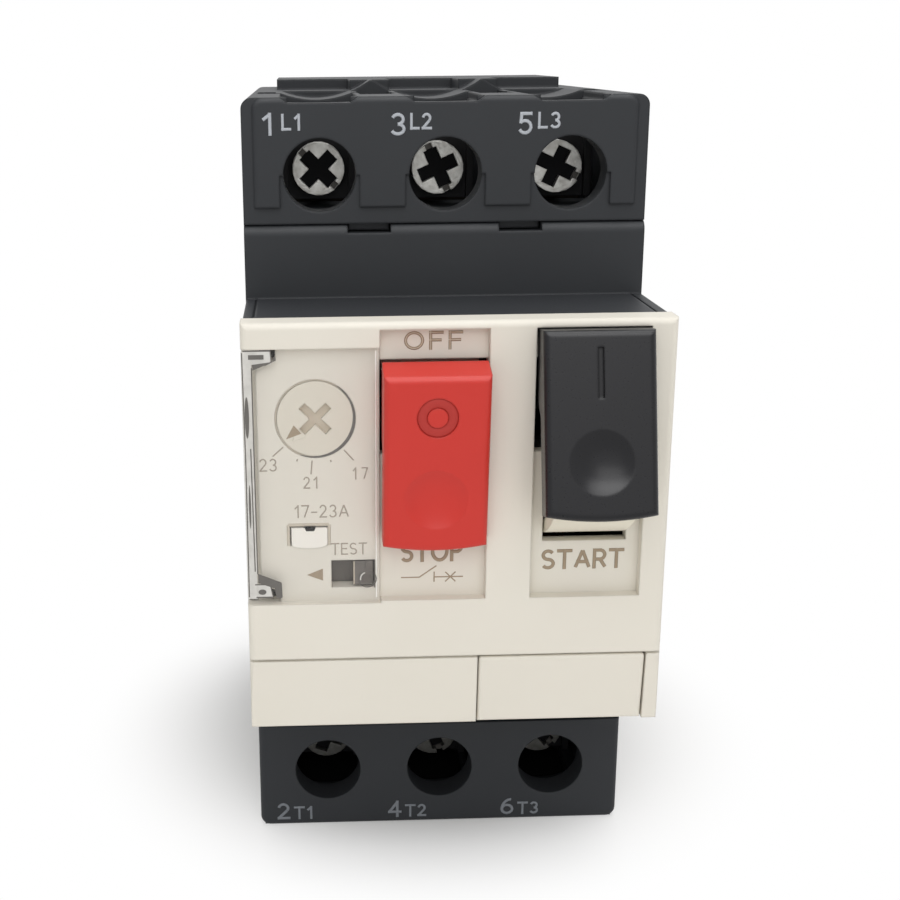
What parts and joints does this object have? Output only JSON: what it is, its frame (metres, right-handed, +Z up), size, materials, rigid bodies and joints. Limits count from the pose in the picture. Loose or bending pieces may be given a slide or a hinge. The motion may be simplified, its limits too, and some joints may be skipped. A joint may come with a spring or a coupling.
{
  "type": "manual motor starter",
  "caption": "Rail-mounted manual motor starter with swinging start and stop keys, a current setting dial under a clear flap, and screw terminals above and below.",
  "frame": {"origin": "centre line of the mounting rail, in the plane of the rail's front face, at mid width", "axes": "+Z up along the row of line terminals to load terminals, +Y back towards the rail, +X right as seen from the front"},
  "size_m": [0.0448, 0.0784, 0.0895],
  "materials": {
    "dark_moulding": "moulded, fine grain",
    "ivory_moulding": "moulded, satin",
    "dial_moulding": "moulded, satin",
    "white_tab": "moulded, satin",
    "clear_flap": "clear polycarbonate",
    "grey_slider": "moulded, satin",
    "red_key": "moulded, satin",
    "black_key": "moulded, satin",
    "cream_carrier": "moulded, satin",
    "inner_moulding": "moulded",
    "plated_steel": "zinc plated",
    "steel": "plain",
    "copper": "tinned at the terminals"
  },
  "bodies": {
    "housing": {"rear_base": "dark_moulding", "front_housing": "dark_moulding", "line_terminal_cover": "dark_moulding", "load_terminal_cover": "dark_moulding", "front_cover": "ivory_moulding", "blanking_plate": "ivory_moulding", "seal_tab": "white_tab", "key_shaft": "steel", "beam_pivot": "steel", "mechanism_plate": "steel", "din_latch_spring": "steel", "arc_chutes": "steel", "line_conductor_1": "copper", "load_contact_1": "copper", "load_conductor_1": "copper", "trip_coil_1": "copper", "bimetal_1": "steel", "line_conductor_2": "copper", "load_contact_2": "copper", "load_conductor_2": "copper", "trip_coil_2": "copper", "bimetal_2": "steel", "line_conductor_3": "copper", "load_contact_3": "copper", "load_conductor_3": "copper", "trip_coil_3": "copper", "bimetal_3": "steel"},
    "start_key": {"start_key": "black_key", "start_key_carrier": "cream_carrier"},
    "stop_key": {"stop_key": "red_key", "stop_key_carrier": "cream_carrier"},
    "changeover_beam": {"changeover_beam": "inner_moulding"},
    "contact_carrier": {"contact_carrier": "inner_moulding", "contact_springs": "steel", "contact_bridge_1": "copper", "contact_bridge_2": "copper", "contact_bridge_3": "copper"},
    "setting_dial": {"setting_dial": "dial_moulding"},
    "setting_lever": {"setting_lever": "inner_moulding"},
    "test_slider": {"test_slider": "grey_slider"},
    "trip_bar": {"trip_bar": "inner_moulding"},
    "trip_latch": {"trip_latch": "inner_moulding"},
    "clear_cover": {"clear_cover": "clear_flap"},
    "din_latch": {"din_latch": "dark_moulding"},
    "striker_1": {"striker_1": "steel"},
    "line_terminal_1": {"line_screw_1": "plated_steel", "line_clamp_1": "plated_steel"},
    "load_terminal_1": {"load_screw_1": "plated_steel", "load_clamp_1": "plated_steel"},
    "striker_2": {"striker_2": "steel"},
    "line_terminal_2": {"line_screw_2": "plated_steel", "line_clamp_2": "plated_steel"},
    "load_terminal_2": {"load_screw_2": "plated_steel", "load_clamp_2": "plated_steel"},
    "striker_3": {"striker_3": "steel"},
    "line_terminal_3": {"line_screw_3": "plated_steel", "line_clamp_3": "plated_steel"},
    "load_terminal_3": {"load_screw_3": "plated_steel", "load_clamp_3": "plated_steel"}
  },
  "joints": [
    {"name": "start_swing", "type": "hinge", "parent": "housing", "child": "start_key", "pos_m": [0.01369, -0.0576, 0.01585], "axis": [1, 0, 0], "range_deg": [-0.05, 21.05]},
    {"name": "stop_swing", "type": "hinge", "parent": "housing", "child": "stop_key", "pos_m": [-0.00258, -0.0576, 0.01585], "axis": [1, 0, 0], "range_deg": [-21.05, 0.05]},
    {"name": "beam_swing", "type": "hinge", "parent": "housing", "child": "changeover_beam", "pos_m": [0.00556, -0.05578, 0.00585], "axis": [0, 0, 1], "range_deg": [-0.05, 25.95]},
    {"name": "carrier_slide", "type": "slide", "parent": "housing", "child": "contact_carrier", "axis": [0, 1, 0], "range_m": [0, 0.003]},
    {"name": "dial_turn", "type": "hinge", "parent": "housing", "child": "setting_dial", "pos_m": [-0.01485, -0.062, 0.0123], "axis": [0, -1, 0], "range_deg": [0, 90]},
    {"name": "lever_swing", "type": "hinge", "parent": "housing", "child": "setting_lever", "pos_m": [-0.0183, -0.06, 0.0055], "axis": [0, 1, 0], "range_deg": [-0.05, 7.15]},
    {"name": "test_slide", "type": "slide", "parent": "housing", "child": "test_slider", "axis": [-1, 0, 0], "range_m": [0, 0.0022], "stiffness_N_per_m": 150},
    {"name": "trip_bar_slide", "type": "slide", "parent": "housing", "child": "trip_bar", "axis": [-1, 0, 0], "range_m": [-0.00001, 0.00221]},
    {"name": "latch_swing", "type": "hinge", "parent": "housing", "child": "trip_latch", "pos_m": [0.017, -0.048, 0.001], "axis": [0, 1, 0], "range_deg": [-0.05, 21.1]},
    {"name": "flap_hinge", "type": "hinge", "parent": "housing", "child": "clear_cover", "pos_m": [-0.0217, -0.064, 0.006], "axis": [0, 0, -1], "range_deg": [0, 95]},
    {"name": "rail_latch_slide", "type": "slide", "parent": "housing", "child": "din_latch", "axis": [0, 0, -1], "range_m": [0, 0.0035], "stiffness_N_per_m": 2000, "deforming": ["din_latch_spring"]},
    {"name": "line_screw_1_travel", "type": "slide", "parent": "housing", "child": "line_terminal_1", "axis": [0, 1, 0], "range_m": [0, 0.0042]},
    {"name": "load_screw_1_travel", "type": "slide", "parent": "housing", "child": "load_terminal_1", "axis": [0, 1, 0], "range_m": [0, 0.0042]},
    {"name": "striker_1_slide", "type": "slide", "parent": "housing", "child": "striker_1", "axis": [0, -1, 0], "range_m": [0, 0.002], "stiffness_N_per_m": 200},
    {"name": "line_screw_2_travel", "type": "slide", "parent": "housing", "child": "line_terminal_2", "axis": [0, 1, 0], "range_m": [0, 0.0042]},
    {"name": "load_screw_2_travel", "type": "slide", "parent": "housing", "child": "load_terminal_2", "axis": [0, 1, 0], "range_m": [0, 0.0042]},
    {"name": "striker_2_slide", "type": "slide", "parent": "housing", "child": "striker_2", "axis": [0, -1, 0], "range_m": [0, 0.002], "stiffness_N_per_m": 200},
    {"name": "line_screw_3_travel", "type": "slide", "parent": "housing", "child": "line_terminal_3", "axis": [0, 1, 0], "range_m": [0, 0.0042]},
    {"name": "load_screw_3_travel", "type": "slide", "parent": "housing", "child": "load_terminal_3", "axis": [0, 1, 0], "range_m": [0, 0.0042]},
    {"name": "striker_3_slide", "type": "slide", "parent": "housing", "child": "striker_3", "axis": [0, -1, 0], "range_m": [0, 0.002], "stiffness_N_per_m": 200}
  ],
  "couplings": [
    {"joint": "start_swing", "follows": "carrier_slide", "rad_per_m": 122.17},
    {"joint": "stop_swing", "follows": "carrier_slide", "rad_per_m": -122.17},
    {"joint": "beam_swing", "follows": "carrier_slide", "rad_per_m": 150.67},
    {"joint": "lever_swing", "follows": "dial_turn", "ratio": 0.0789},
    {"joint": "trip_bar_slide", "follows": "test_slide", "ratio": 1},
    {"joint": "latch_swing", "follows": "test_slide", "rad_per_m": 166.67}
  ]
}
